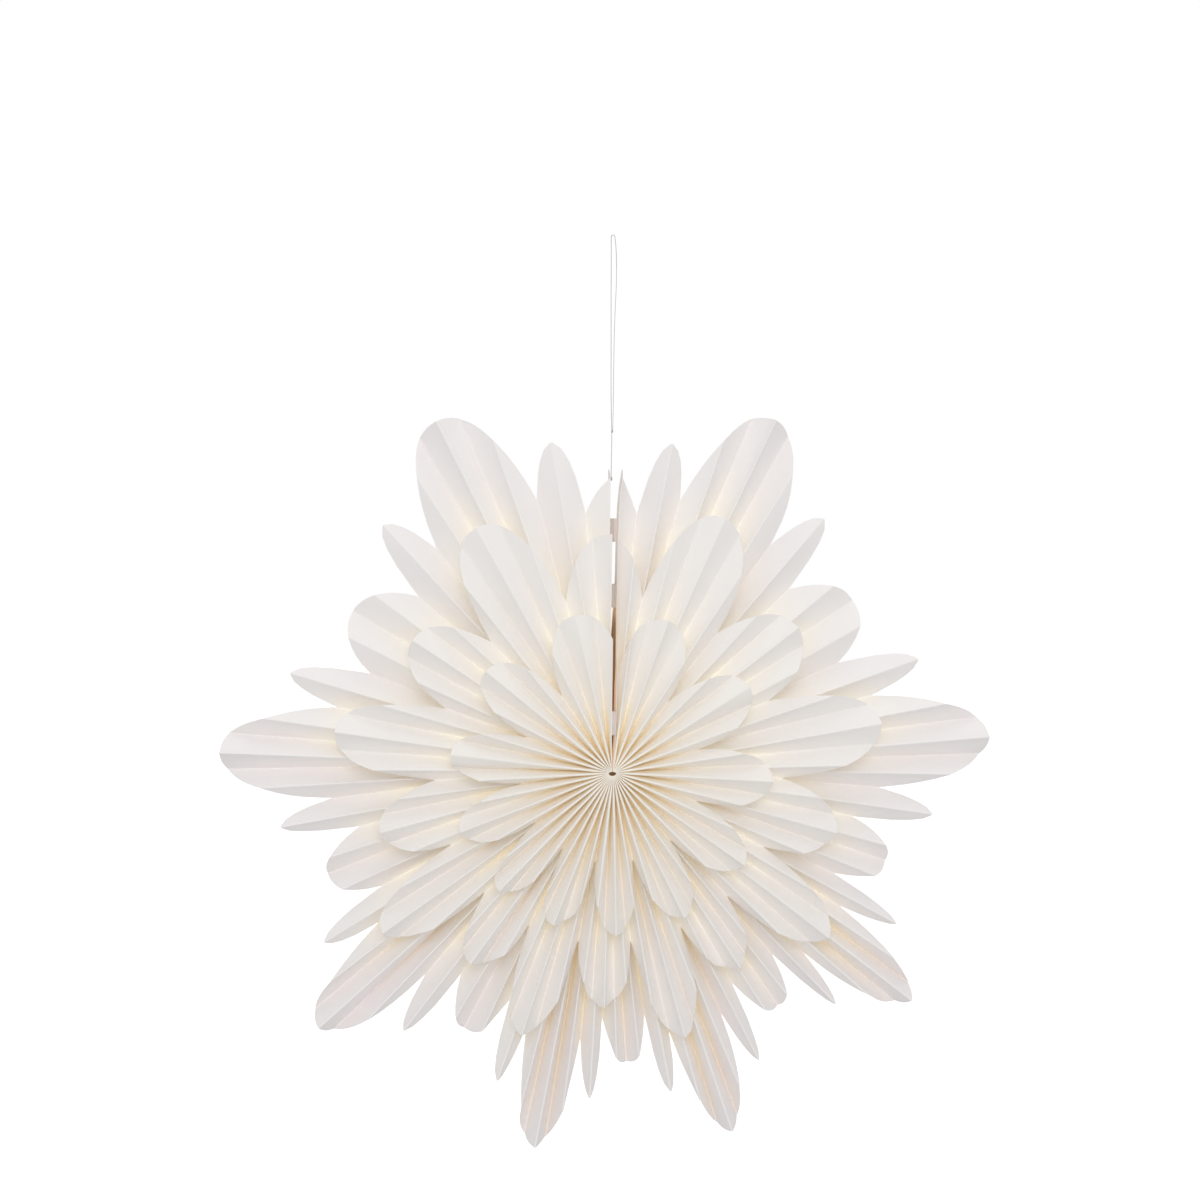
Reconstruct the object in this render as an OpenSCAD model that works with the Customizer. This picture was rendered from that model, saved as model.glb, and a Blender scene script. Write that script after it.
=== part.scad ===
// Hanging paper flower: three pleated paper fans, one behind the other, each opened to a full
// circle and closed at a slot at the top, hung by a thread loop.
// The flower faces -Y, +Z is up, and the origin is the top of the thread loop.

/* [Back fan] */
// Reach of the eight large petals from the centre, mm
large_r = 298; // [280:1:320]
// Reach of the slim pointed petals from the centre, mm
pointed_r = 255; // [240:1:270]
// Reach of the rounded petals from the centre, mm
rounded_r = 231; // [220:1:245]
// Distance from the centre to the notches beside the large petals, mm
large_notch_r = 214; // [205:1:222]
// Distance from the centre to the notches beside the rounded petals, mm
rounded_notch_r = 197; // [185:1:205]
// Width of one pleat panel of the back fan, mm
back_panel_w = 23.5; // [23:0.5:30]

/* [Middle fan] */
// Reach of the eight long petals from the centre, mm
long_r = 212; // [195:1:225]
// Reach of the eight short petals from the centre, mm
short_r = 181; // [165:1:190]
// Distance from the centre to the notches of the middle fan, mm
middle_notch_r = 134; // [120:1:150]
// Width of one pleat panel of the middle fan, mm
middle_panel_w = 18.5; // [18:0.5:24]

/* [Front fan] */
// Reach of the twelve front petals from the centre, mm
front_r = 123; // [110:1:130]
// Distance from the centre to the notches of the front fan, mm
front_notch_r = 69; // [60:1:80]
// Width of one pleat panel of the front fan, mm
front_panel_w = 15.5; // [15:0.5:20]

/* [Paper] */
// Thickness of the paper, mm
paper_t = 0.25; // [0.2:0.01:0.3]
// Clearance between one fan and the next at the centre, mm
fan_gap = 0.1; // [0.05:0.01:0.3]

/* [Closing slot] */
// Width of the slot between the two end panels of the front fan, mm
slot_w = 2.4; // [2:0.1:3.2]
// How much wider the slot is in each fan further back, mm
slot_step = 0.8; // [0.7:0.1:1.2]
// Angle by which each end panel leans away from the middle of the slot, degrees
slot_spread = 0.4; // [0.3:0.1:0.8]
// How far the right end panel of the front and middle fans is turned, as its front edge's way over its width
end_turn = 0.04; // [0:0.01:0.1]
// Angle by which the right end panel of the middle fan leans back towards the slot, degrees
middle_lean = 0.7; // [0:0.1:0.8]
// Angle by which the right end panel of the front fan leans back towards the slot, degrees
front_lean = 0.4; // [0:0.1:0.6]
// How far the tip of the right end panel of the back fan curls away from the slot, mm
tip_curl = 3; // [0:0.5:6]
// Length of a closing pad along the slot, mm
pad_l = 18; // [10:1:20]
// Width of a closing pad from front to back, mm
pad_w = 9; // [5:0.5:11]
// Distance from the centre to the middle of the back fan's pads, mm
back_pad_r = 184; // [150:1:184]
// Distance from the centre to the middle of the middle fan's pads, mm
middle_pad_r = 134; // [100:1:145]
// Distance from the centre to the middle of the front fan's pads, mm
front_pad_r = 38; // [38:1:50]

/* [Hanging thread] */
// Diameter of the thread, mm
thread_d = 0.6; // [0.5:0.05:0.7]
// Diameter of the knots in the thread, mm
knot_d = 1.8; // [1.7:0.1:2.4]
// Distance from the centre to where the thread is tied to the left end panel, mm
tie_r = 222; // [205:1:224]
// How far the slot leans clockwise as the flower hangs, degrees
lean = 1.3; // [0:0.1:2]

/* [Glue at the centre] */
// Height of the flattened hole through the glue at the centre, mm
hub_hole_h = 3; // [2:0.1:4]
// Thickness of the glue wall at the two sides of the hole, mm
glue_wall = 0.8; // [0.6:0.1:1.2]

/* [Hidden] */

// Panels in one repeat of each fan's petal pattern, and how many times it repeats
back_repeat = 14;
middle_repeat = 12;
front_repeat = 6;
repeats = 8;
front_petals = 12;
// How unevenly each fan has been pulled open: waves round the circle, each as its number,
// its share across the slot and its share to the side
back_pull = [[1, 0.372, -0.022], [2, 0.032, 0.03], [3, -0.027, 0.004], [4, -0.062, -0.028]];
middle_pull = [[1, 0.277, 0.041], [2, 0.008, 0.031], [3, -0.018, 0.007]];
front_pull = [[1, 0.262, 0.096], [2, 0.024, 0.011], [3, 0.019, 0.012]];
// Share by which the pleats to the left of the slot open more and those to the right less, as the
// slot leans, and over how many panels that fades
end_pull = 0.1;
end_reach = 8;
// How much less the panels of long petals open than those of short ones
back_share = 1.58;
middle_share = 0.16;
front_share = 0;
// How full the petals are towards their tips
rounded_fullness = 2.3;
pointed_fullness = 1.9;
large_fullness = 2.5;
// How far the slot stays open at the packed centre, as a share of its width
hub_slot_share = 0.25;
// The tightly packed paper at the centre, as a share of its own thickness
packing = 1.28;
// Least depth that a pleat keeps where it is pulled nearly flat
flat_depth = 1.5;
// Clearance between the glue and the inner ends of the pleats, and how deep it sits in them
glue_gap = 0.06;
glue_recess = 2;
// Clearance of the thread to a knot and of a knot to the end panel
thread_gap = 0.05;
// Height of a knot, and steps of the curve between two points of the thread's route
knot_h = 3;
route_steps = 2;
// How far a fold stands out past the middle of the paper
fold_edge = paper_t * 0.7;
// Steps along the cut edge of one panel
edge_steps = 4;
// Distance from the centre at which the slot has opened to its full width
open_r = 28;
// Points along a fold between its inner end and its cut end: distances of the first two from the
// centre, and the share of the shortest notch at which the last one lies
inner_rings = [open_r * 0.3, open_r];
outer_ring_share = 0.98;
// The inner face of a fold moves by less than this share of the step to the next fold
inner_face_share = 0.42;
// Width of a knot at its two ends, as a share of its diameter
knot_end_share = 0.75;

// Cut edge of a petal: d panels from its middle fold, over half of its width in panels.
// The larger its fullness, the broader the petal is towards its tip.
function petal(d, half, tip, notch, fullness) = notch + (tip - notch) * (1 - pow(abs(d) / half, fullness));

// Reach of each fan's cut edge at fold number p, which may lie between two folds
function folded(p, repeat) = let (q = (p + repeat) % repeat) min(q, repeat - q);
back_edge = function (p) let (q = folded(p, back_repeat))
    q <= 2 ? petal(q, 2, rounded_r, rounded_notch_r, rounded_fullness)
    : q <= 3 ? petal(3 - q, 1, pointed_r, rounded_notch_r, pointed_fullness)
    : q <= 4 ? petal(q - 3, 1, pointed_r, large_notch_r, pointed_fullness)
    : petal(7 - q, 3, large_r, large_notch_r, large_fullness);
middle_edge = function (p) let (q = folded(p, middle_repeat))
    q <= 3 ? petal(q, 3, short_r, middle_notch_r, rounded_fullness)
    : petal(6 - q, 3, long_r, middle_notch_r, rounded_fullness);
front_edge = function (p) petal(3 - folded(p, front_repeat), 3, front_r, front_notch_r, rounded_fullness);

// A fan is [edge, first fold, last fold, 1 where odd folds stand in front, panel width,
// half of the slot, shortest notch, pull, share, and then the curl, turn and lean of the right end panel]
back = [back_edge, 0, back_repeat * repeats, 1, back_panel_w,
    slot_w / 2 + slot_step, rounded_notch_r, back_pull, back_share, tip_curl, 0, 0];
middle = [middle_edge, 0, middle_repeat * repeats + 1, 0, middle_panel_w,
    slot_w / 2 + slot_step / 2, middle_notch_r, middle_pull, middle_share, 0, end_turn, middle_lean];
front = [front_edge, -1, front_repeat * front_petals, 1, front_panel_w,
    slot_w / 2, front_notch_r, front_pull, front_share, 0, end_turn, front_lean];
function panels(fan) = fan[2] - fan[1];
function hub_r(fan) = (panels(fan) - 2) * paper_t * packing / (2 * PI);

// Angle of every fold, clockwise from the slot. The first and the last panel lie along the slot.
function total(list) = list * [for (item = list) 1];
function mean(list) = total(list) / len(list);
function openings(fan) =
    let (n = panels(fan) - 2,
        lengths = [for (i = [1 : n]) (fan[0](fan[1] + i) + fan[0](fan[1] + i + 1)) / 2],
        middle_length = mean(lengths))
    [for (i = [1 : n]) let (turn = 360 * (i - 0.5) / n)
        (1 + total([for (wave = fan[7]) wave[1] * cos(wave[0] * turn) + wave[2] * sin(wave[0] * turn)])
            + end_pull * (exp((i - n) / end_reach) - exp((1 - i) / end_reach)))
        * pow(lengths[i - 1] / middle_length, -fan[8])];
function running(list) = [for (i = 0, sum = 0; i <= len(list); sum = sum + (i < len(list) ? list[i] : 0),
    i = i + 1) sum];
function fold_angles(fan) =
    let (sums = running(openings(fan)), last = sums[len(sums) - 1])
    [slot_spread, for (sum = sums) slot_spread + (360 - 2 * slot_spread) * sum / last, 360 - slot_spread];

// Angle at which each fold starts on the packed ring at the centre
function start_angles(fan) =
    let (n = panels(fan) - 2, half = asin(fan[5] * hub_slot_share / hub_r(fan)))
    [half, for (i = [0 : n]) half + (360 - 2 * half) * i / n, 360 - half];

// Share of its opening that the slot has reached at distance r, and how far the right tip curls
function open_share(fan, r) = max(0, min(1, (r - hub_r(fan)) / (open_r - hub_r(fan))));
function outer_ring(fan) = outer_ring_share * fan[6];
function curl(fan, r) = let (from = outer_ring(fan)) fan[9] * pow(max(0, r - from) / (rounded_r - from), 2);

// Point of fold i at distance r, in the plane of the flower
function in_front(fan, i) = abs(i + fan[1]) % 2 == fan[3] ? -1 : 1;
function flat_point(fan, angles, starts, i, r) =
    let (a = angles[i],
        opened = open_share(fan, r) * fan[5] * (1 - hub_slot_share),
        turned = in_front(fan, i) < 0 ? open_share(fan, r) * fan[10] * fan[4] : 0,
        leaned = (r - hub_r(fan)) * sin(fan[11]),
        bend = i < 2 ? opened + turned + curl(fan, r) - leaned : i > panels(fan) - 2 ? -opened : 0,
        side = hub_r(fan) * sin(starts[i] - a) + bend)
    [r * sin(a) + side * cos(a), r * cos(a) - side * sin(a)];
function start_r(fan, angles, starts, i) = hub_r(fan) * cos(starts[i] - angles[i]);

// How far from front to back the folds stand apart where neighbours are c apart
function pleat_depth(fan, c) = sqrt(max(fan[4] * fan[4] - c * c, flat_depth * flat_depth));

// Point of fold i at distance r in space, on the middle of the paper
function fold_point(fan, angles, starts, i, r) =
    let (n = panels(fan), j = max(1, min(n - 1, i)),
        here = flat_point(fan, angles, starts, j, r),
        before = flat_point(fan, angles, starts, j - 1, r),
        after = flat_point(fan, angles, starts, j + 1, r),
        c = j == 1 ? norm(after - here) : j == n - 1 ? norm(here - before)
            : (norm(after - here) + norm(here - before)) / 2,
        y = in_front(fan, j) * pleat_depth(fan, c) / 2,
        spot = flat_point(fan, angles, starts, i, r))
    [spot[0], i == j ? y : y - in_front(fan, j) * fan[4], spot[1]];

function unit(v) = v / norm(v);
function panel_normal(from, to, a) = unit(cross(to - from, [sin(a), 0, cos(a)]));

// The two faces of the paper at fold i and distance r, as [front point, back point]
function faces(fan, angles, starts, i, r) =
    let (n = panels(fan), a = angles[i],
        here = fold_point(fan, angles, starts, i, r),
        before = i > 0 ? fold_point(fan, angles, starts, i - 1, r) : here,
        after = i < n ? fold_point(fan, angles, starts, i + 1, r) : here,
        left = i > 0 ? panel_normal(before, here, a) : panel_normal(here, after, a),
        right = i < n ? panel_normal(here, after, a) : left,
        flatness = max(0.01, sqrt(max(0, 1 + left * right) / 2)),
        out = unit(left + right),
        outer = min(paper_t / 2 / flatness, fold_edge),
        inner = min(paper_t / flatness - outer,
            inner_face_share * abs(here[1] - (i > 0 ? before[1] : after[1]))),
        front_is_outer = in_front(fan, i) < 0)
    i == 0 || i == n ? [here + left * paper_t / 2, here - left * paper_t / 2]
    : front_is_outer ? [here + out * outer, here - out * inner]
    : [here + out * inner, here - out * outer];

// One pleated sheet with its cut edge, closed all round
module pleated_sheet(fan) {
    angles = fold_angles(fan);
    starts = start_angles(fan);
    n = panels(fan);
    middle_rings = concat(inner_rings, outer_ring(fan));
    rings = len(middle_rings) + 2;
    fold_pairs = [for (i = [0 : n]) let (edge_r = fan[0](fan[1] + i))
        for (k = [0 : rings - 1]) let (
            r = k == 0 ? start_r(fan, angles, starts, i) : k == rings - 1 ? edge_r : middle_rings[k - 1])
        faces(fan, angles, starts, i, r)];
    edge_pairs = [for (i = [0 : n - 1]) for (j = [1 : edge_steps - 1]) let (
            f = j / edge_steps,
            r = fan[0](fan[1] + i + f),
            here = faces(fan, angles, starts, i, r),
            next = faces(fan, angles, starts, i + 1, r))
        here * (1 - f) + next * f];
    points = [for (pair = concat(fold_pairs, edge_pairs)) for (point = pair) point];
    function at(i, k, side) = 2 * (i * rings + k) + side;
    function rim(i, j, side) = j == 0 ? at(i, rings - 1, side) : j == edge_steps ? at(i + 1, rings - 1, side)
        : 2 * (len(fold_pairs) + i * (edge_steps - 1) + j - 1) + side;
    half = edge_steps / 2;
    top = rings - 2;
    front_side = [for (i = [0 : n - 1]) each concat(
        [for (k = [0 : top - 1]) each [[at(i, k, 0), at(i, k + 1, 0), at(i + 1, k + 1, 0)],
            [at(i, k, 0), at(i + 1, k + 1, 0), at(i + 1, k, 0)]]],
        [for (j = [0 : half - 1]) [at(i, top, 0), rim(i, j, 0), rim(i, j + 1, 0)]],
        [[at(i, top, 0), rim(i, half, 0), at(i + 1, top, 0)]],
        [for (j = [half : edge_steps - 1]) [at(i + 1, top, 0), rim(i, j, 0), rim(i, j + 1, 0)]])];
    back_side = [for (face = front_side) [face[0] + 1, face[2] + 1, face[1] + 1]];
    rim_side = [for (i = [0 : n - 1]) for (j = [0 : edge_steps - 1])
        each [[rim(i, j, 0), rim(i, j, 1), rim(i, j + 1, 1)], [rim(i, j, 0), rim(i, j + 1, 1), rim(i, j + 1, 0)]]];
    hub_side = [for (i = [0 : n - 1])
        each [[at(i, 0, 0), at(i + 1, 0, 0), at(i + 1, 0, 1)], [at(i, 0, 0), at(i + 1, 0, 1), at(i, 0, 1)]]];
    end_sides = [for (k = [0 : rings - 2]) each [
        [at(0, k, 0), at(0, k, 1), at(0, k + 1, 1)], [at(0, k, 0), at(0, k + 1, 1), at(0, k + 1, 0)],
        [at(n, k, 0), at(n, k + 1, 0), at(n, k + 1, 1)], [at(n, k, 0), at(n, k + 1, 1), at(n, k, 1)]]];
    polyhedron(points, concat(front_side, back_side, rim_side, hub_side, end_sides), convexity = 20);
}

// Places from front to back: the middle planes of the fans, with the front fan's at 0
middle_y = (front_panel_w + middle_panel_w) / 2 + 2 * fold_edge + fan_gap;
back_y = middle_y + (middle_panel_w + back_panel_w) / 2 + 2 * fold_edge + fan_gap;
// Place across the slot of the slot face of an end panel at distance r and depth y, where side is
// 1 for the right end panel and -1 for the left one
function wall_x(fan, side, r, y) =
    let (angles = fold_angles(fan), starts = start_angles(fan), n = panels(fan),
        free = fold_point(fan, angles, starts, side > 0 ? 0 : n, r),
        fold = fold_point(fan, angles, starts, side > 0 ? 1 : n - 1, r))
    free[0] + (fold[0] - free[0]) * (y - free[1]) / (fold[1] - free[1]) - side * paper_t / 2;
// The thread is tied to the left end panel of the back fan, behind the middle of the panel
tie_behind = 2;
tie_x = wall_x(back, -1, tie_r, tie_behind) + knot_d / 2 + thread_gap;
tie_y = back_y + tie_behind;

// Route of the thread: up from the end panel to the loop's knot, round the loop and back to the knot
thread_route = [[-1.4, -189], [-1.4, -180], [-1.2, -170], [-1, -160], [-1, -151], [-1.1, -146],
    [-1.3, -138], [-1.5, -120], [-1.5, -100], [-1.5, -80], [-1.5, -60], [-1.5, -42], [-1.4, -28], [-1.4, -19],
    [-1.4, -13], [-1.4, -8.5], [-1.4, -5.6], [-1.4, -3.4], [-1.35, -1.8], [-1, -0.75], [0, -0.3], [1, -0.75],
    [1.4, -1.8], [1.6, -3.4], [1.85, -5.6], [2.15, -8.5], [2.45, -13], [2.7, -20], [2.7, -30], [2.4, -42],
    [1.7, -56], [0.9, -80], [0.5, -105], [0.15, -131], [-0.1, -144], [-0.28, -150]];
// Point of the route that lies in the loop's knot
knot_point = 4;
// Where the centre of the front fan hangs, from the tied end of the thread
hub_x = thread_route[0][0] - tie_x * cos(lean) - tie_r * sin(lean);
hub_z = thread_route[0][1] + tie_x * sin(lean) - tie_r * cos(lean);
module at_hub(y) translate([hub_x, y - tie_y, hub_z]) rotate([0, lean, 0]) children();

module back_fan() color("#f0eeec") at_hub(back_y) pleated_sheet(back);
module middle_fan() color("#f3f1ed") at_hub(middle_y) pleated_sheet(middle);
module front_fan() color("#f6f4ee") at_hub(0) pleated_sheet(front);

// Glue that holds the inner ends of a fan's pleats together: a tube with a flattened hole
module hub_glue(fan, y, front_end, back_end) {
    outer = hub_r(fan) - glue_gap;
    h = front_end + back_end;
    at_hub(y) translate([0, back_end, 0]) rotate([90, 0, 0]) difference() {
        cylinder(h = h, r = outer, $fn = 40);
        translate([0, 0, -1]) scale([outer - glue_wall, hub_hole_h / 2, 1]) cylinder(h = h + 2, r = 1, $fn = 32);
    }
}
// The glue of one fan meets the next fan's glue in the middle of the clearance between the fans
function meeting(fan) = fan[4] / 2 + fold_edge + fan_gap / 2;
function recessed(fan) = fan[4] / 2 - glue_recess;
module back_hub_glue() color("#8a6a4c") hub_glue(back, back_y, meeting(back), recessed(back));
module middle_hub_glue() color("#8a6a4c") hub_glue(middle, middle_y, meeting(middle), meeting(middle));
module front_hub_glue() color("#8a6a4c") hub_glue(front, 0, recessed(front), meeting(front));

// One closing pad on the slot face of an end panel; the two pads of a fan meet in the slot
module closing_pad(fan, y, r, side) {
    corners = [for (across = [0, 1]) for (corner = [[-1, -1], [1, -1], [1, 1], [-1, 1]]) let (
            depth = corner[0] * pad_w / 2, height = r + corner[1] * pad_l / 2)
        [across * wall_x(fan, side, height, depth), depth, height]];
    outward = [[0, 1, 2, 3], [6, 5, 4], [7, 6, 4], [0, 4, 5, 1], [1, 5, 6, 2], [2, 6, 7, 3], [3, 7, 4, 0]];
    at_hub(y) polyhedron(corners, [for (face = outward) side > 0 ? face
        : [for (i = [len(face) - 1 : -1 : 0]) face[i]]]);
}
module back_pad_left() color("#d6cfcb") closing_pad(back, back_y, back_pad_r, -1);
module back_pad_right() color("#e2d6d2") closing_pad(back, back_y, back_pad_r, 1);
module middle_pad_left() color("#d6cfcb") closing_pad(middle, middle_y, middle_pad_r, -1);
module middle_pad_right() color("#e2d6d2") closing_pad(middle, middle_y, middle_pad_r, 1);
module front_pad_left() color("#d6cfcb") closing_pad(front, 0, front_pad_r, -1);
module front_pad_right() color("#e2d6d2") closing_pad(front, 0, front_pad_r, 1);

// Smooth curve through the route's points
function curve_at(a, b, c, d, f) = (2 * b + (c - a) * f + (2 * a - 5 * b + 4 * c - d) * f * f
    + (3 * b - a - 3 * c + d) * f * f * f) / 2;
function smooth(route, steps) = let (last = len(route) - 1)
    [for (i = [0 : last - 1]) for (j = [0 : steps - 1])
        curve_at(route[max(0, i - 1)], route[i], route[i + 1], route[min(last, i + 2)], j / steps), route[last]];

// Round tube of eight sides along a path that lies in the plane of the flower
module thread_tube(path, d) {
    last = len(path) - 1;
    sides = 8;
    points = [for (i = [0 : last]) let (
            along = unit(path[min(last, i + 1)] - path[max(0, i - 1)]))
        for (k = [0 : sides - 1]) let (across = cos(360 * k / sides) * d / 2)
            [path[i][0] + across * along[1], sin(360 * k / sides) * d / 2, path[i][1] - across * along[0]]];
    walls = [for (i = [0 : last - 1]) for (k = [0 : sides - 1]) let (next = (k + 1) % sides)
        each [[sides * i + k, sides * (i + 1) + k, sides * (i + 1) + next],
            [sides * i + k, sides * (i + 1) + next, sides * i + next]]];
    polyhedron(points, concat(walls, [[for (k = [0 : sides - 1]) k]],
        [[for (k = [sides - 1 : -1 : 0]) sides * last + k]]));
}
module hanging_thread() color("#d9d9d9") thread_tube(smooth(thread_route, route_steps), thread_d);

// A knot: a small barrel with a way through it for the strands, spread apart between their middles
module knot(x, z, spread) {
    r = knot_d / 2;
    translate([x, 0, z]) difference() {
        rotate_extrude($fn = 24) polygon([[0, -knot_h / 2], [r * knot_end_share, -knot_h / 2],
            [r, -knot_h / 4], [r, knot_h / 4], [r * knot_end_share, knot_h / 2], [0, knot_h / 2]]);
        cube([spread + thread_d + 2 * thread_gap, thread_d + 2 * thread_gap, knot_h + 1], center = true);
    }
}
module tie_knot() color("#d9d9d9") knot(thread_route[0][0], thread_route[0][1] + knot_h / 2, 0);
module loop_knot() color("#d9d9d9") let (
        up = thread_route[knot_point],
        down = thread_route[len(thread_route) - 1])
    knot((up[0] + down[0]) / 2, up[1], down[0] - up[0]);

back_fan();
middle_fan();
front_fan();
back_hub_glue();
middle_hub_glue();
front_hub_glue();
back_pad_left();
back_pad_right();
middle_pad_left();
middle_pad_right();
front_pad_left();
front_pad_right();
hanging_thread();
tie_knot();
loop_knot();
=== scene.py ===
import math

import bpy
import numpy as np
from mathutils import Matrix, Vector


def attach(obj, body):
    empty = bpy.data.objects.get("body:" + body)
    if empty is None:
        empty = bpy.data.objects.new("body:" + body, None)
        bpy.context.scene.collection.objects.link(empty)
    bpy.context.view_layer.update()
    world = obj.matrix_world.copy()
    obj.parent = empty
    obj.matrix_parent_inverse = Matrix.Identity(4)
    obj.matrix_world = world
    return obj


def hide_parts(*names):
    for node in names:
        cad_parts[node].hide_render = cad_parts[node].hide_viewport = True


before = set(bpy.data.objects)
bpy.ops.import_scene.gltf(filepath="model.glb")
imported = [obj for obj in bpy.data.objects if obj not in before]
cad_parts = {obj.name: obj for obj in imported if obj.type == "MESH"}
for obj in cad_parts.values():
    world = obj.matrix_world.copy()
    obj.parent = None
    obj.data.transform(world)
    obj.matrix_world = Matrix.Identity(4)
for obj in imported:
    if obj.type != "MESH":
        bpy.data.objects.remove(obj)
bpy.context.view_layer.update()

MM = 0.001


def mm(x, y, z):
    return Vector((x * MM, y * MM, z * MM))


# Camera: a little to the left of the flower and above it, turned to look slightly down

TURN = math.radians(4)
TILT = math.radians(1.9)
CAMERA_DISTANCE = 1.972
FLOWER_MIDDLE = (-3.8, -40.9, -410.994)
AIM_ABOVE_MIDDLE = 131.2
AIM_LEFT_OF_MIDDLE = 9.1
look = Vector((math.sin(TURN) * math.cos(TILT), math.cos(TURN) * math.cos(TILT), -math.sin(TILT)))
right = Vector((math.cos(TURN), -math.sin(TURN), 0))
up = right.cross(look)
aim = mm(*FLOWER_MIDDLE) + up * AIM_ABOVE_MIDDLE * MM - right * AIM_LEFT_OF_MIDDLE * MM

bpy.ops.object.camera_add()
camera = bpy.context.object
camera.name = "camera"
camera.data.lens = 78
camera.data.sensor_width = 36
camera.data.clip_start = 0.05
camera.data.clip_end = 60
camera.location = aim - look * CAMERA_DISTANCE
camera.rotation_euler = look.to_track_quat("-Z", "Y").to_euler()
bpy.context.scene.camera = camera


# The hanging thread, along the route of the model, in millimetres across and upwards

THREAD_D = 0.6
THREAD_STEP = 0.3
TWIST_LENGTH = 3.6
STRAND_CORNERS = 12
STRAND_WAIST = 0.7
KNOT_STEPS = 14
KNOT_DEPTH = 0.62
ROUTE = [(-1.4, -189), (-1.4, -180), (-1.2, -170), (-1, -160), (-1, -151), (-1.1, -146),
         (-1.3, -138), (-1.5, -120), (-1.5, -100), (-1.5, -80), (-1.5, -60), (-1.5, -42), (-1.4, -28),
         (-1.4, -19), (-1.4, -13), (-1.4, -8.5), (-1.4, -5.6), (-1.4, -3.4), (-1.35, -1.8), (-1, -0.75),
         (0, -0.3), (1, -0.75), (1.4, -1.8), (1.6, -3.4), (1.85, -5.6), (2.15, -8.5), (2.45, -13),
         (2.7, -20), (2.7, -30), (2.4, -42), (1.7, -56), (0.9, -80), (0.5, -105), (0.15, -131),
         (-0.1, -144), (-0.28, -150)]
LOOP_KNOT = 4


def smooth_route(route, steps):
    """Points of the smooth curve through the route's points, with steps to each point."""
    points = []
    last = len(route) - 1
    for i in range(last):
        a, b, c, d = (np.array(route[min(last, max(0, i + k))], float) for k in (-1, 0, 1, 2))
        for j in range(steps):
            f = j / steps
            points.append((2 * b + (c - a) * f + (2 * a - 5 * b + 4 * c - d) * f ** 2
                           + (3 * b - a - 3 * c + d) * f ** 3) / 2)
    points.append(np.array(route[-1], float))
    return points


def even_points(points, step):
    """The same line with its points a step apart."""
    points = np.array(points)
    along = np.concatenate([[0], np.cumsum(np.linalg.norm(np.diff(points, axis=0), axis=1))])
    count = int(round(along[-1] / step)) + 1
    stops = np.linspace(0, along[-1], count)
    return np.stack([np.interp(stops, along, points[:, k]) for k in range(points.shape[1])], 1), along[-1]


def line_object(name, points, closed=False):
    """A curve object of one line through points in metres."""
    data = bpy.data.curves.new(name, "CURVE")
    data.dimensions = "3D"
    line = data.splines.new("POLY")
    line.points.add(len(points) - 1)
    for target, point in zip(line.points, points):
        target.co = (*point, 1)
    line.use_cyclic_u = closed
    made = bpy.data.objects.new(name, data)
    bpy.context.scene.collection.objects.link(made)
    return made


def only(obj):
    """Makes obj the one selected and active object."""
    for other in bpy.context.selected_objects:
        other.select_set(False)
    obj.select_set(True)
    bpy.context.view_layer.objects.active = obj


def as_mesh(obj):
    only(obj)
    bpy.ops.object.convert(target="MESH")
    return bpy.context.object


def two_strand_outline():
    """Cross-section of a thread twisted from two strands, as a closed line."""
    spots = []
    for k in range(STRAND_CORNERS):
        angle = 2 * math.pi * k / STRAND_CORNERS
        reach = THREAD_D / 2 * (STRAND_WAIST + (1 - STRAND_WAIST) * abs(math.cos(angle)) ** 1.5)
        spots.append((reach * math.cos(angle) * MM, reach * math.sin(angle) * MM, 0))
    return line_object("strand_outline", spots, closed=True)


def twisted_thread():
    """The thread from the tie up over the loop and back: its mesh, its path and its length in metres."""
    flat, length = even_points(smooth_route(ROUTE, 4), THREAD_STEP)
    path = [(x * MM, 0, z * MM) for x, z in flat]
    thread = line_object("hanging_thread_twisted", path)
    for k, point in enumerate(thread.data.splines[0].points):
        point.tilt = 2 * math.pi * k * THREAD_STEP / TWIST_LENGTH
    outline = two_strand_outline()
    thread.data.bevel_mode = "OBJECT"
    thread.data.bevel_object = outline
    thread.data.use_fill_caps = True
    thread.data.twist_mode = "MINIMUM"
    thread = as_mesh(thread)
    bpy.data.objects.remove(outline)
    return thread, path, length * MM


def wound_knot(name, x, z, reach, turns, height):
    """A small knot: turns of the thread wound tightly round the strands that it holds."""
    spots = []
    for k in range(turns * KNOT_STEPS + 1):
        f = k / (turns * KNOT_STEPS)
        angle = 2 * math.pi * turns * f
        narrow = 1 - 0.35 * abs(2 * f - 1) ** 3
        spots.append(((x + reach * narrow * math.cos(angle)) * MM,
                      KNOT_DEPTH * narrow * math.sin(angle) * MM,
                      (z + height * (f - 0.5)) * MM))
    made = line_object(name, spots)
    made.data.bevel_depth = THREAD_D / 2 * MM
    made.data.bevel_resolution = 3
    made.data.use_fill_caps = True
    return as_mesh(made)


thread, thread_path, thread_length = twisted_thread()
tie_knot = wound_knot("tie_knot_wound", ROUTE[0][0], ROUTE[0][1] + 1.5, reach=0.6, turns=4, height=2.4)
loop_knot = wound_knot("loop_knot_wound", (ROUTE[LOOP_KNOT][0] + ROUTE[-1][0]) / 2, ROUTE[LOOP_KNOT][1],
                       reach=0.5, turns=3, height=1.8)


# The three pleated fans: the same sheets, folds and cut edges as in the model

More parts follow.
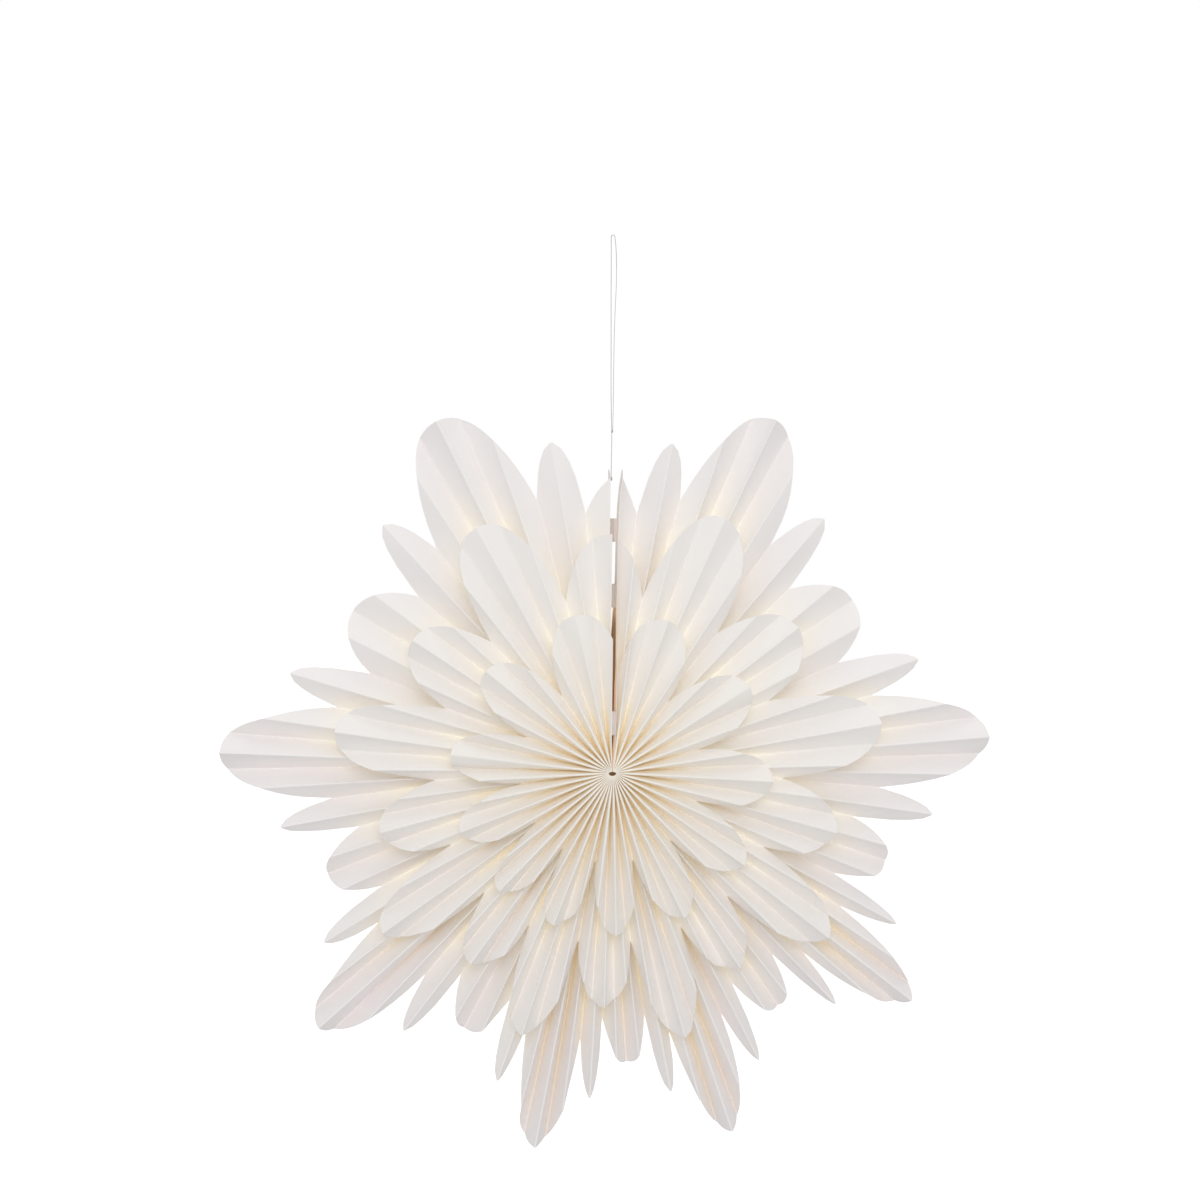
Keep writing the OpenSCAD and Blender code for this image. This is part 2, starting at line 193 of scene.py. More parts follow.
REPEATS = 8
FRONT_PETALS = 12
PAPER_T = 0.25
SLOT_W = 2.4
SLOT_STEP = 0.8
SLOT_SPREAD = 0.4
HUB_SLOT_SHARE = 0.25
SHUT_HALF = 0.2
OPEN_R = 28
END_TURN = 0.04
END_PULL = 0.1
END_REACH = 8
PACKING = 1.28
FLAT_DEPTH = 1.5
OUTER_RING_SHARE = 0.98
LARGE_R = 298
POINTED_R = 255
ROUNDED_R = 231
LARGE_NOTCH_R = 214
ROUNDED_NOTCH_R = 197
LONG_R = 212
SHORT_R = 181
MIDDLE_NOTCH_R = 134
FRONT_R = 123
FRONT_NOTCH_R = 69
ROUNDED_FULLNESS = 2.3
POINTED_FULLNESS = 1.9
LARGE_FULLNESS = 2.5
LEAN = math.radians(1.3)
HUB = (-4.001, -40.9, -410.998)

# Each fold turns over at this radius, and the mesh has points at these distances from the fold
CREASE_R = 0.65
CREASE_STEPS = (0.25, 0.6, 1.05)
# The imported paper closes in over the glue, across this width of each panel, to a flattened hole: half of
# its width and half of its height in the front and in the back sheet
LIP_W = 2.2
LIP_CLEARANCE = 0.1
FRONT_HOLE = (2.6, 1.4)
BACK_HOLE = (3.2, 2.2)
# How much the panels bow, how much that changes along a panel and how quickly, and how uneven the folds are
BOW = 0.42
BOW_WAVE = 0.34
BOW_WAVE_R = 31
MOST_BOW = 1.6
FOLD_SHIFT = 0.22
# The rows of points lie closer together near the centre
ROW_POWER = 1.35
# Shelter, which sets where the paper gets painted creamy shade and painted glowing light, starts to fade
# this far from the centre, or this far inside the edge of the fan in front, and it reaches so far from there
SHELTER_START = 4
CENTRE_SHELTER_R = 40
FAN_SHELTER_R = 24
REAR_SHELTER = 0.25
# Depth over which painted shade darkens the slot's sides, the distance from the centre where that ends, and
# its fade
SLOT_DARK_DEPTH = 27
SLOT_DARK_R = 140
SLOT_DARK_FADE = 28


def petal(d, half, tip, notch, fullness):
    """Reach of a petal's cut edge, d panels from its middle fold; half is half of its width in panels."""
    return notch + (tip - notch) * (1 - (np.abs(d) / half) ** fullness)


def folded(p, repeat):
    """Panels from fold number p to the nearest end of the pattern that repeats."""
    q = np.mod(p + repeat, repeat)
    return np.minimum(q, repeat - q)


def back_edge(p):
    q = folded(p, 14)
    rounded = petal(q, 2, ROUNDED_R, ROUNDED_NOTCH_R, ROUNDED_FULLNESS)
    pointed = petal(q - 3, 1, POINTED_R, np.where(q <= 3, ROUNDED_NOTCH_R, LARGE_NOTCH_R), POINTED_FULLNESS)
    large = petal(7 - q, 3, LARGE_R, LARGE_NOTCH_R, LARGE_FULLNESS)
    return np.where(q <= 2, rounded, np.where(q <= 4, pointed, large))


def middle_edge(p):
    q = folded(p, 12)
    return np.where(q <= 3, petal(q, 3, SHORT_R, MIDDLE_NOTCH_R, ROUNDED_FULLNESS),
                    petal(6 - q, 3, LONG_R, MIDDLE_NOTCH_R, ROUNDED_FULLNESS))


def front_edge(p):
    return petal(3 - folded(p, 6), 3, FRONT_R, FRONT_NOTCH_R, ROUNDED_FULLNESS)


class Fan:
    """One pleated sheet pulled round to a full circle; points are in millimetres, seen from the front."""

    def __init__(self, edge, first, last, front_parity, panel_w, half_slot, notch, pull, middle_y,
                 share=0, tip_curl=0, turn=0, lean=0, shut_r=(0, 1)):
        self.edge, self.first, self.front_parity = edge, first, front_parity
        self.panels = last - first
        self.panel_w, self.half_slot, self.notch = panel_w, half_slot, notch
        self.tip_curl, self.turn, self.lean = tip_curl, turn, math.radians(lean)
        self.middle_y, self.shut_r = middle_y, shut_r
        n = self.panels - 2
        self.hub_r = n * PAPER_T * PACKING / (2 * math.pi)
        i = np.arange(1, n + 1)
        lengths = (edge(first + i) + edge(first + i + 1)) / 2
        around = 2 * math.pi * (i - 0.5) / n
        opening = 1 + sum(c * np.cos(k * around) + s * np.sin(k * around) for k, c, s in pull)
        opening = opening + END_PULL * (np.exp((i - n) / END_REACH) - np.exp((1 - i) / END_REACH))
        opening = opening * (lengths / lengths.mean()) ** -share
        sums = np.concatenate([[0], np.cumsum(opening)])
        inner = SLOT_SPREAD + (360 - 2 * SLOT_SPREAD) * sums / sums[-1]
        self.angles = np.radians(np.concatenate([[SLOT_SPREAD], inner, [360 - SLOT_SPREAD]]))
        half = math.asin(half_slot * HUB_SLOT_SHARE / self.hub_r)
        starts = half + (2 * math.pi - 2 * half) * np.arange(n + 1) / n
        self.starts = np.concatenate([[half], starts, [2 * math.pi - half]])

    def in_front(self, i):
        """-1 for a fold that lies in front, 1 for one that lies behind."""
        return np.where(np.abs(i + self.first) % 2 == self.front_parity, -1, 1)

    def flat_point(self, i, r):
        """Fold i at distance r from the centre, seen from the front."""
        a = self.angles[i]
        share = np.clip((r - self.hub_r) / (OPEN_R - self.hub_r), 0, 1)
        opened = share * self.half_slot * (1 - HUB_SLOT_SHARE)
        turned = np.where(self.in_front(i) < 0, share * self.turn * self.panel_w, 0)
        leaned = (r - self.hub_r) * math.sin(self.lean)
        ring = OUTER_RING_SHARE * self.notch
        curl = self.tip_curl * (np.maximum(0, r - ring) / (ROUNDED_R - ring)) ** 2
        shut = np.clip((self.shut_r[1] - r) / (self.shut_r[1] - self.shut_r[0]), 0, 1)
        met = share * (SHUT_HALF - self.half_slot * HUB_SLOT_SHARE)
        opened = np.where((i == 0) | (i == self.panels), opened * (1 - shut) + met * shut, opened)
        bend = np.where(i < 2, opened + turned + curl - leaned, np.where(i > self.panels - 2, -opened, 0))
        side = self.hub_r * np.sin(self.starts[i] - a) + bend
        return r * np.sin(a) + side * np.cos(a), r * np.cos(a) - side * np.sin(a)

    def start_r(self, i):
        """Distance from the centre at which fold i leaves the glue."""
        return self.hub_r * np.cos(self.starts[i] - self.angles[i])

    def fold_point(self, i, r):
        """The same point with its depth, which leaves each panel the width of its pleat."""
        n = self.panels
        j = np.clip(i, 1, n - 1)
        hx, hz = self.flat_point(j, r)
        bx, bz = self.flat_point(j - 1, r)
        ax, az = self.flat_point(j + 1, r)
        before = np.hypot(hx - bx, hz - bz)
        after = np.hypot(ax - hx, az - hz)
        c = np.where(j == 1, after, np.where(j == n - 1, before, (before + after) / 2))
        depth = np.sqrt(np.maximum(self.panel_w ** 2 - c ** 2, FLAT_DEPTH ** 2))
        y = self.in_front(j) * depth / 2
        y = np.where(i == j, y, y - self.in_front(j) * self.panel_w)
        x, z = self.flat_point(i, r)
        return np.stack([x, y, z], -1)


back = Fan(back_edge, first=0, last=14 * REPEATS, front_parity=1, panel_w=23.5,
           half_slot=SLOT_W / 2 + SLOT_STEP, notch=ROUNDED_NOTCH_R, middle_y=38.9,
           pull=[(1, 0.372, -0.022), (2, 0.032, 0.03), (3, -0.027, 0.004), (4, -0.062, -0.028)],
           share=1.58, tip_curl=3, shut_r=(96, 150))
middle = Fan(middle_edge, first=0, last=12 * REPEATS + 1, front_parity=0, panel_w=18.5,
             half_slot=SLOT_W / 2 + SLOT_STEP / 2, notch=MIDDLE_NOTCH_R, middle_y=17.45,
             pull=[(1, 0.277, 0.041), (2, 0.008, 0.031), (3, -0.018, 0.007)],
             share=0.16, turn=END_TURN, lean=0.7)
front = Fan(front_edge, first=-1, last=6 * FRONT_PETALS, front_parity=1, panel_w=15.5,
            half_slot=SLOT_W / 2, notch=FRONT_NOTCH_R, middle_y=0,
            pull=[(1, 0.262, 0.096), (2, 0.024, 0.011), (3, 0.019, 0.012)],
            turn=END_TURN, lean=0.4)


def panel_stops(panel_w):
    """Places across a panel, as shares of its width: close together where it turns over at its two folds."""
    near = [step / panel_w for step in CREASE_STEPS]
    return [0, *near, 0.3, 0.5, 0.7, *(1 - share for share in reversed(near))]


def over_crease(f, c, panel_w):
    """Shares sideways and in depth of a point at share f of a panel whose folds are c apart: each fold
    turns over round a small radius instead of to a sharp edge."""
    bend_r = np.minimum(CREASE_R, np.maximum(c, 1e-6) / 2)
    near = np.minimum(f, 1 - f)

    def depth(run):
        turned = np.minimum(run / bend_r, math.pi / 2)
        return bend_r * (1 - np.cos(turned)) + np.maximum(0, run - bend_r * math.pi / 2)

    sideways = np.minimum(0.5, np.maximum(near, bend_r / np.maximum(c, 1e-6)
                                          * np.sin(np.minimum(near * panel_w / bend_r, math.pi / 2))))
    inwards = depth(near * panel_w) / (2 * depth(panel_w / 2 + 0 * c))
    return np.where(f <= 0.5, sideways, 1 - sideways), np.where(f <= 0.5, inwards, 1 - inwards)


def hub_hole_r(angle, half_w, half_h):
    """Distance from the centre to the edge of the flattened hole, in the direction of angle."""
    return 1 / np.hypot(np.sin(angle) / half_w, np.cos(angle) / half_h)


def place(points, middle_y):
    """From the fan's own frame to the hung flower's, in metres."""
    x, y, z = points[..., 0], points[..., 1], points[..., 2]
    return np.stack([HUB[0] + x * math.cos(LEAN) + z * math.sin(LEAN),
                     HUB[1] + middle_y + y,
                     HUB[2] - x * math.sin(LEAN) + z * math.cos(LEAN)], -1) * MM


def covered_by(upper, angle):
    """Reach of the fan in front at an angle, clockwise from the slot."""
    fold = np.interp(angle, upper.angles, np.arange(upper.panels + 1))
    return upper.edge(upper.first + fold)


def pleated_sheet(name, fan, rows, hole_side, hole, upper, seed):
    """One fan as a sheet that is folded at every pleat, cut to its petals and given its thickness."""
    n = fan.panels
    stops = np.array(panel_stops(fan.panel_w))
    columns = np.concatenate([np.concatenate([i + stops for i in range(n)]), [n]])
    bpy.ops.mesh.primitive_grid_add(x_subdivisions=len(columns) - 1, y_subdivisions=rows, size=2)
    sheet = bpy.context.object
    sheet.name = name
    sheet.data.name = name
    count = len(sheet.data.vertices)
    spots = np.zeros(count * 3)
    sheet.data.vertices.foreach_get("co", spots)
    spots = spots.reshape(-1, 3)
    col = np.rint((spots[:, 0] + 1) / 2 * (len(columns) - 1)).astype(int)
    row = np.rint((spots[:, 1] + 1) / 2 * rows) / rows

    across = columns[col]
    i = np.minimum(np.floor(across + 1e-9).astype(int), n - 1)
    f = across - i
    start = fan.start_r(i) * (1 - f) + fan.start_r(i + 1) * f
    reach = fan.edge(fan.first + across)
    chosen = np.random.default_rng(seed)
    if hole:
        near = np.where(fan.in_front(i) == hole_side, f, 1 - f)
        rise = np.maximum(0, 1 - near * fan.panel_w / LIP_W)
        angle = fan.starts[i] * (1 - f) + fan.starts[i + 1] * f
        start = start - rise * np.maximum(0, fan.hub_r - LIP_CLEARANCE - hub_hole_r(angle, *hole))
    r = start + (reach - start) * row ** ROW_POWER
    here = fan.fold_point(i, r)
    there = fan.fold_point(i + 1, r)
    apart = np.hypot(there[:, 0] - here[:, 0], there[:, 2] - here[:, 2])
    sideways, inwards = over_crease(f, apart, fan.panel_w)
    free = (i == 0) & (f < 0.5) | (i == n - 1) & (f > 0.5)
    sideways, inwards = np.where(free, f, sideways), np.where(free, f, inwards)
    share = np.stack([sideways, inwards, sideways], -1)
    points = here * (1 - share) + there * share

    along = there - here
    along = along / np.linalg.norm(along, axis=1)[:, None]
    a = fan.angles[i] * (1 - f) + fan.angles[i + 1] * f
    outwards = np.stack([np.sin(a), 0 * a, np.cos(a)], -1)
    normal = np.cross(along, outwards)
    normal = normal / np.linalg.norm(normal, axis=1)[:, None]
    far = np.clip((r - fan.hub_r) / (fan.notch - fan.hub_r), 0, MOST_BOW)
    bow = chosen.normal(0, BOW, n + 1)[i]
    bow = bow + chosen.normal(0, BOW_WAVE, n + 1)[i] * np.sin(r / BOW_WAVE_R + i)
    bow = np.where((i == 0) | (i == n - 1), 0, bow)
    points = points + normal * (bow * far * np.sin(math.pi * f))[:, None]
    shift = chosen.normal(0, FOLD_SHIFT, n + 2)
    shift[[0, 1, n - 1, n]] = 0
    points[:, 1] += (shift[i] * (1 - f) + shift[i + 1] * f) * far

    sheet.data.vertices.foreach_set("co", place(points, fan.middle_y).ravel())

    ridge = np.where(fan.in_front(i) < 0, 1 - f, f)
    if upper is None:
        shelter = np.exp(-np.maximum(0, r - SHELTER_START) / CENTRE_SHELTER_R)
    else:
        shelter = np.exp(-np.maximum(0, r - covered_by(upper, a) + SHELTER_START) / FAN_SHELTER_R)
    end = (i == 0) | (i == n - 1)
    # Painted shade on the slot side of the end panels, growing further back and fading out away from the
    # centre
    behind = points[:, 1] + fan.middle_y + front.panel_w / 2
    painted_slot_shade = np.clip((behind + 1) / SLOT_DARK_DEPTH, 0, 1) * np.clip((SLOT_DARK_R - r) / SLOT_DARK_FADE, 0, 1)
    add_layer(sheet, "deep", np.where(end, painted_slot_shade, 0))
    add_layer(sheet, "ridge", ridge)
    add_layer(sheet, "shelter", shelter)
    add_layer(sheet, "opening", np.where(end, 1, np.clip(apart / fan.panel_w, 0, 1)))
    wanted = np.stack([across * fan.panel_w * MM, r * MM], -1)
    layer = sheet.data.uv_layers[0] if sheet.data.uv_layers else sheet.data.uv_layers.new(name="flat_sheet")
    corners = np.zeros(len(sheet.data.loops), int)
    sheet.data.loops.foreach_get("vertex_index", corners)
    layer.data.foreach_set("uv", wanted[corners].ravel())
    sheet.data.update()

    only(sheet)
    bpy.ops.object.mode_set(mode="EDIT")
    bpy.ops.mesh.select_all(action="SELECT")
    bpy.ops.mesh.normals_make_consistent(inside=False)
    bpy.ops.object.mode_set(mode="OBJECT")
    wall = sheet.modifiers.new("paper thickness", "SOLIDIFY")
    wall.thickness = PAPER_T * MM
    wall.offset = 0
    bpy.ops.object.modifier_apply(modifier=wall.name)
    bpy.ops.object.shade_smooth_by_angle(angle=math.radians(50))
    sort_sides(sheet, (i == 0) & (fan.in_front(0) < 0))
    return sheet


def sort_sides(sheet, slot_behind):
    """On the side that faces away the folds change places, and no fan in front gives it shelter, so it gets
    less painted creamy shade and glowing light. Only the slot side of an end panel gets the painted slot
    shade by its depth: the rear side where slot_behind is true."""
    half = len(sheet.data.vertices) // 2
    spots = np.zeros(half * 6)
    sheet.data.vertices.foreach_get("co", spots)
    back_first = spots[1:half * 3:3].mean() > spots[half * 3 + 1::3].mean()
    first, second = slice(0, half), slice(half, None)
    rear, face = (first, second) if back_first else (second, first)
    for name in ("ridge", "shelter", "deep"):
        layer = sheet.data.attributes[name]
        values = np.zeros(half * 2, np.float32)
        layer.data.foreach_get("value", values)
        if name == "ridge":
            values[rear] = 1 - values[rear]
        elif name == "shelter":
            values[rear] *= REAR_SHELTER
        else:
            values[rear] *= slot_behind
            values[face] *= ~slot_behind
        layer.data.foreach_set("value", values)


def add_layer(obj, name, values):
    """Stores one number for each point, for the finish to read."""
    layer = obj.data.attributes.new(name, "FLOAT", "POINT")
    layer.data.foreach_set("value", np.asarray(values, np.float32))


back_sheet = pleated_sheet("back_fan_pleated", back, rows=22, hole_side=1, hole=BACK_HOLE,
                           upper=middle, seed=3)
middle_sheet = pleated_sheet("middle_fan_pleated", middle, rows=20, hole_side=1, hole=None,
                             upper=front, seed=5)
front_sheet = pleated_sheet("front_fan_pleated", front, rows=16, hole_side=-1, hole=FRONT_HOLE,
                            upper=None, seed=8)


# Closing pads: soft foam strips with rounded edges, from the model's own shapes

PAD_EDGE = 0.25


def soft_pad(node):
    """A copy of one pad with its doubled points merged and its edges rounded."""
    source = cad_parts[node]
    pad = bpy.data.objects.new(node + "_foam", source.data.copy())
    bpy.context.scene.collection.objects.link(pad)
    only(pad)
    bpy.ops.object.mode_set(mode="EDIT")
    bpy.ops.mesh.select_all(action="SELECT")
    bpy.ops.mesh.remove_doubles(threshold=1e-6)
    bpy.ops.mesh.normals_make_consistent(inside=False)
    bpy.ops.mesh.tris_convert_to_quads()
    bpy.ops.object.mode_set(mode="OBJECT")
    edge = pad.modifiers.new("rounded edges", "BEVEL")
    edge.width = PAD_EDGE * MM
    edge.segments = 3
    bpy.ops.object.modifier_apply(modifier=edge.name)
    bpy.ops.object.shade_smooth_by_angle(angle=math.radians(35))
    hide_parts(node)
    return pad


PAD_NODES = ["back_pad_left", "back_pad_right", "middle_pad_left", "middle_pad_right",
             "front_pad_left", "front_pad_right"]
pads = {node: soft_pad(node) for node in PAD_NODES}


# Finishes

class Value:
    """A number that varies over a surface; sums and products with it add maths nodes."""

    def __init__(self, finish, socket):
        self.finish, self.socket = finish, socket

    def maths(self, operation, first, second):
        return self.finish.add("ShaderNodeMath", {"operation": operation}, {0: first, 1: second})

    def __add__(self, other):
        return self.maths("ADD", self, other)

    def __sub__(self, other):
        return self.maths("SUBTRACT", self, other)

    def __mul__(self, other):
        return self.maths("MULTIPLY", self, other)

    def __truediv__(self, other):
        return self.maths("DIVIDE", self, other)

    def __pow__(self, other):
        return self.maths("POWER", self, other)

    def __radd__(self, other):
        return self.maths("ADD", other, self)

    def __rsub__(self, other):
        return self.maths("SUBTRACT", other, self)

    def at_most(self, other):
        return self.maths("MINIMUM", self, other)

    def at_least(self, other):
        return self.maths("MAXIMUM", self, other)


class Finish:
    """A material made of nodes round one Principled surface."""

    def __init__(self, name, roughness, settings=None):
        self.material = bpy.data.materials.new(name)
        self.material.use_nodes = True
        self.nodes = self.material.node_tree.nodes
        self.links = self.material.node_tree.links
        self.nodes.clear()
        output = self.nodes.new("ShaderNodeOutputMaterial")
        self.surface = self.nodes.new("ShaderNodeBsdfPrincipled")
        self.links.new(self.surface.outputs[0], output.inputs["Surface"])
        self.surface.inputs["Roughness"].default_value = roughness
        for socket, value in (settings or {}).items():
            self.surface.inputs[socket].default_value = value

    def add(self, kind, settings=None, sockets=None, output=0):
        node = self.nodes.new(kind)
        for name, value in (settings or {}).items():
            setattr(node, name, value)
        for name, value in (sockets or {}).items():
            self.feed(node.inputs[name], value)
        return Value(self, node.outputs[output])

    def feed(self, socket, value):
        if isinstance(value, Value):
            self.links.new(value.socket, socket)
        else:
            socket.default_value = value

    def layer(self, name):
        return self.add("ShaderNodeAttribute", {"attribute_name": name}, output="Fac")

    def place(self, output="Object"):
        return self.add("ShaderNodeTexCoord", output=output)

    def noise(self, where, scale, detail=3.0, roughness=0.55):
        return self.add("ShaderNodeTexNoise", {}, {"Vector": where, "Scale": scale, "Detail": detail,
                                                   "Roughness": roughness})

    def blend(self, share, first, second):
        return self.add("ShaderNodeMix", {"data_type": "RGBA"}, {0: share, 6: first, 7: second}, output=2)

    def colour(self, value):
        self.feed(self.surface.inputs["Base Color"], value)

    def rough(self, value):
        self.feed(self.surface.inputs["Roughness"], value)

    def stretched(self, where, scale):
        return self.add("ShaderNodeMapping", {}, {"Vector": where, "Scale": scale})

    def bump(self, height, distance, strength):
        made = self.add("ShaderNodeBump", {}, {"Height": height, "Distance": distance, "Strength": strength})
        self.feed(self.surface.inputs["Normal"], made)


def linear(r, g, b):
    """A colour given as it shows on a screen, 0 to 255, as the light that it stands for."""
    return tuple(v / 255 / 12.92 if v <= 10 else ((v / 255 + 0.055) / 1.055) ** 2.4 for v in (r, g, b)) + (1,)


# Painted creamy shade for where pleats and petals shelter the paper
SHADE_CREAM = (0.958, 0.938, 0.893, 1)
# Painted ochre shade for the valleys of tight pleats
CREASE_SHADE_OCHRE = (0.89, 0.79, 0.575, 1)
# Painted peach and brown shade for the slot's sides
SLOT_SHADE_PEACH = (0.945, 0.85, 0.73, 1)
SLOT_SHADE_BROWN = (0.62, 0.49, 0.35, 1)
# Painted glowing light in the slot, peach and brown
SLOT_PEACH_PAINTED_GLOW = (0.07, 0.06, 0.05, 1)
SLOT_BROWN_PAINTED_GLOW = (0.05, 0.034, 0.02, 1)
# Painted glowing light of the sheltered paper, standing in for light through the sheet, then the front fan's
# warmer creamy shade and glowing light
PAINTED_GLOW = (0.058, 0.054, 0.046, 1)
WARM_SHADE_CREAM = (0.958, 0.921, 0.845, 1)
WARM_PAINTED_GLOW = (0.058, 0.051, 0.039, 1)
NO_GLOW = (0, 0, 0, 1)
MOTTLE = linear(246, 243, 238)
# Panels that open by less than this share of their width count as tight, and get painted ochre shade in their
# valleys
TIGHT_OPENING = 0.4
# Noise scales of the clouding and of the fibres, which are drawn out away from the centre
CLOUD_SCALE = 38
FIBRE_SCALE = 2600
FIBRE_STRETCH = (1, 0.35, 1)


def folded_paper(name, clean, shade_cream, shade_warmth, painted_glow):
    """White craft paper, clouded at random and cooler where it is open to the light, with painted shade:
    creamy where pleats and petals shelter it, ochre in the tight valleys and brown deep in the slot; where it
    is sheltered, painted glowing light stands in for the light that comes through the thin sheet."""
    finish = Finish(name, 0.86, {"Specular IOR Level": 0.18, "Emission Strength": 1.0})
    ridge = finish.layer("ridge")
    shelter = finish.layer("shelter")
    clouding = finish.noise(finish.place(), CLOUD_SCALE, 4)
    fibres = finish.noise(finish.stretched(finish.place("UV"), FIBRE_STRETCH), FIBRE_SCALE, 2)
    valley = 1 - ridge
    # Painted creamy shade where the paper is sheltered, most in the valleys, with a little random clouding
    painted_warmth_and_clouding = (shelter * (shade_warmth + valley * 0.5) + (clouding - 0.5) * 0.06).at_least(0).at_most(1)
    sheet = finish.blend(painted_warmth_and_clouding, clean, shade_cream)
    mottled = finish.blend((clouding - 0.42) * 0.5, sheet, MOTTLE)
    tight = (1 - finish.layer("opening") / TIGHT_OPENING).at_least(0)
    # Painted ochre shade in the valleys of tight pleats
    crease_shaded = finish.blend((valley ** 2.6 * tight * 1.35).at_most(1), mottled, CREASE_SHADE_OCHRE)
    deep = finish.layer("deep")
    # Painted peach shade on the slot's sides, turning to painted brown shade further in
    wall, far = (deep * 3).at_most(1), (deep * 2.2 - 1.1).at_least(0).at_most(1)
    finish.colour(finish.blend(far, finish.blend(wall, crease_shaded, SLOT_SHADE_PEACH), SLOT_SHADE_BROWN))
    # Painted glowing light where the paper is sheltered, most in the valleys and less in tight pleats
    painted_glow_share = (shelter * (0.5 + valley * 0.6) * (0.8 + clouding * 0.4) * (1 - tight * 0.35)).at_most(1)
    # In the slot the painted glowing light turns peach and then brown
    through = finish.blend(wall, finish.blend(painted_glow_share, NO_GLOW, painted_glow), SLOT_PEACH_PAINTED_GLOW)
    finish.feed(finish.surface.inputs["Emission Color"], finish.blend(far, through, SLOT_BROWN_PAINTED_GLOW))
    finish.rough(0.82 + fibres * 0.12)
    finish.bump(fibres + clouding * 3, 0.00006, 0.5)
    return finish.material


def dress(obj, material):
    obj.data.materials.clear()
    obj.data.materials.append(material)


# One paper in three tones: the fans nearer the centre are warmer, a painted tint from light bounced between
# the layers
dress(back_sheet, folded_paper("back fan paper", (0.94, 0.909, 0.904, 1), SHADE_CREAM, 0.8, PAINTED_GLOW))
dress(middle_sheet, folded_paper("middle fan paper", (0.937, 0.906, 0.884, 1), SHADE_CREAM, 0.85, PAINTED_GLOW))
dress(front_sheet, folded_paper("front fan paper", (0.926, 0.892, 0.853, 1), WARM_SHADE_CREAM, 0.9, WARM_PAINTED_GLOW))


def foam(name, light, painted_slot_shade):
    finish = Finish(name, 0.9, {"Specular IOR Level": 0.2})
    body = finish.place()
    cells = finish.add("ShaderNodeTexVoronoi", {"feature": "F1"}, {"Vector": body, "Scale": 2400.0})
    patches = finish.noise(body, 260, 3)
    finish.colour(finish.blend((cells * 0.6 + patches * 0.5).at_most(1), light, painted_slot_shade))
    finish.bump(cells + patches * 0.5, 0.0001, 0.6)
    return finish.material


# One white foam in three tones: taupe is painted slot shade on the pads further in, rose is painted warmer
# light bounced from the slot's side, pale is for the front pads
SLOT_SHADE_TAUPE = foam("taupe foam", linear(222, 214, 208), linear(196, 186, 180))
BOUNCED_LIGHT_ROSE = foam("rose foam", linear(238, 226, 222), linear(224, 208, 202))
PALE = foam("pale foam", linear(236, 232, 234), linear(218, 213, 216))
for node, pad in pads.items():
    dress(pad, {"back_pad_right": BOUNCED_LIGHT_ROSE, "front_pad_left": PALE, "front_pad_right": PALE}.get(node, SLOT_SHADE_TAUPE))


# Dried glue with a faint painted brown glowing light in its Emission Color
def dried_glue():
    finish = Finish("dried glue", 0.35, {"Specular IOR Level": 0.5, "Emission Strength": 1.0,
                                         "Emission Color": (0.06, 0.038, 0.019, 1)})
    body = finish.place()
    runs = finish.noise(body, 420, 4)
    beads = finish.noise(body, 1500, 2)
    finish.colour(finish.blend(runs, linear(168, 142, 112), linear(206, 180, 148)))
    finish.rough(0.3 + beads * 0.3)
    finish.bump(runs + beads * 0.4, 0.0003, 0.6)
    return finish.material


GLUE = dried_glue()
for node in ("back_hub_glue", "middle_hub_glue", "front_hub_glue"):
    dress(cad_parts[node], GLUE)


def spun_thread():
    finish = Finish("spun thread", 0.7, {"Specular IOR Level": 0.3, "Sheen Weight": 0.2})
    body = finish.place()
    hairs = finish.noise(finish.stretched(body, (1, 1, 0.3)), 9000, 2, 0.5)
    patches = finish.noise(body, 300, 2)
    finish.colour(finish.blend(hairs * 0.6 + patches * 0.4, linear(206, 206, 208), linear(166, 166, 169)))
    finish.bump(hairs, 0.00008, 0.7)
    return finish.material


THREAD = spun_thread()
for obj in (thread, tie_knot, loop_knot):
    dress(obj, THREAD)


# Hiding the model's pieces that these replace, and hanging all of them on the root

for obj, node in ((back_sheet, "back_fan"), (middle_sheet, "middle_fan"), (front_sheet, "front_fan"),
                  (thread, "hanging_thread"), (tie_knot, "tie_knot"), (loop_knot, "loop_knot")):
    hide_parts(node)
for obj in (back_sheet, middle_sheet, front_sheet, thread, tie_knot, loop_knot, *pads.values()):
    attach(obj, "root")


# Floor, light and surroundings

FLOOR_Z = -1.5
FLOOR_SIZE = 40
LIGHT_TARGET = (0, 0, -0.41)

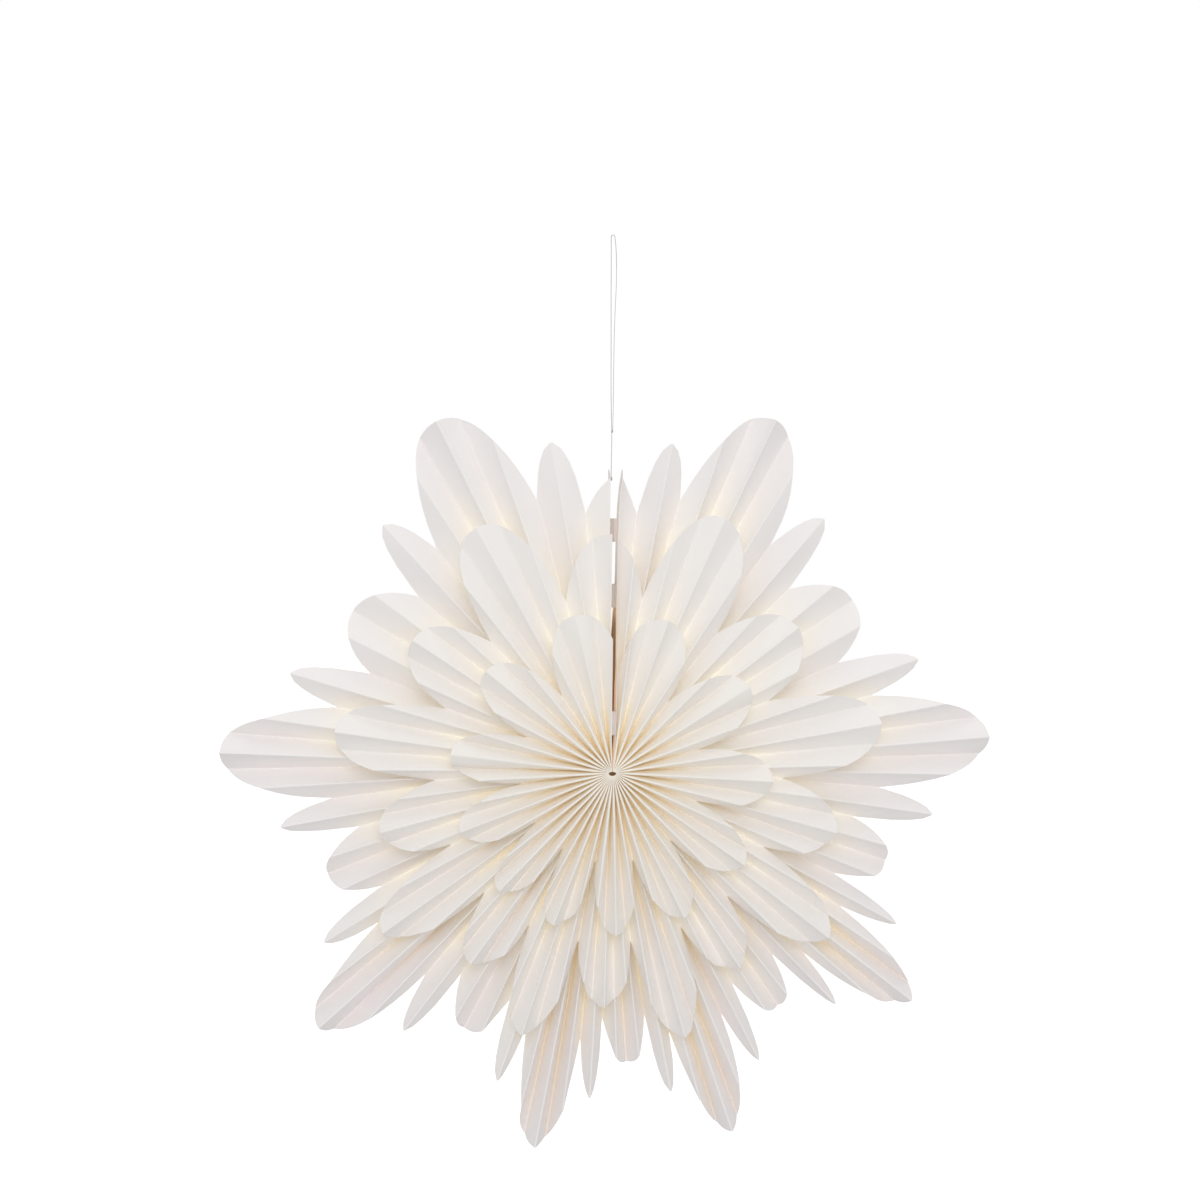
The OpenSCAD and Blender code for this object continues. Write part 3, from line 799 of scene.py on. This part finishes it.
bpy.ops.mesh.primitive_plane_add(size=FLOOR_SIZE, location=(0, 0, FLOOR_Z))
floor = bpy.context.object
floor.name = "floor"
floor_finish = Finish("pale floor", 0.9, {"Emission Color": (1, 1, 1, 1), "Emission Strength": 0.6})
floor_finish.colour(floor_finish.blend(floor_finish.noise(floor_finish.place(), 3),
                                       linear(250, 250, 250), linear(254, 254, 254)))
dress(floor, floor_finish.material)
floor.visible_diffuse = False
floor.visible_glossy = False


def white_surroundings(strength):
    """Even light from all round, in front of a backdrop that is plain white to look at."""
    world = bpy.data.worlds.new("studio")
    bpy.context.scene.world = world
    world.use_nodes = True
    nodes, links = world.node_tree.nodes, world.node_tree.links
    light = nodes["Background"]
    light.inputs["Color"].default_value = (1, 1, 1, 1)
    light.inputs["Strength"].default_value = strength
    backdrop = nodes.new("ShaderNodeBackground")
    backdrop.inputs["Color"].default_value = (1, 1, 1, 1)
    ray = nodes.new("ShaderNodeLightPath")
    both = nodes.new("ShaderNodeMixShader")
    links.new(ray.outputs["Is Camera Ray"], both.inputs[0])
    links.new(light.outputs[0], both.inputs[1])
    links.new(backdrop.outputs[0], both.inputs[2])
    links.new(both.outputs[0], nodes["World Output"].inputs["Surface"])


white_surroundings(strength=0.635)


def soft_light(name, spot, size, power):
    bpy.ops.object.light_add(type="AREA", location=spot)
    lamp = bpy.context.object
    lamp.name = name
    lamp.data.shape = "DISK"
    lamp.data.size = size
    lamp.data.energy = power
    lamp.rotation_euler = (Vector(LIGHT_TARGET) - Vector(spot)).to_track_quat("-Z", "Y").to_euler()


soft_light("light above", (0.2, -0.6, 2.4), size=2.4, power=10)
soft_light("light in front", (-0.15, -3.2, 0.6), size=1.6, power=26)
soft_light("light behind", (0.5, 3.2, 0.8), size=1.6, power=20)

scene = bpy.context.scene
scene.cycles.max_bounces = 16
scene.cycles.diffuse_bounces = 16
scene.view_settings.view_transform = "Standard"
scene.view_settings.look = "None"
scene.view_settings.exposure = 0
scene.view_settings.gamma = 1
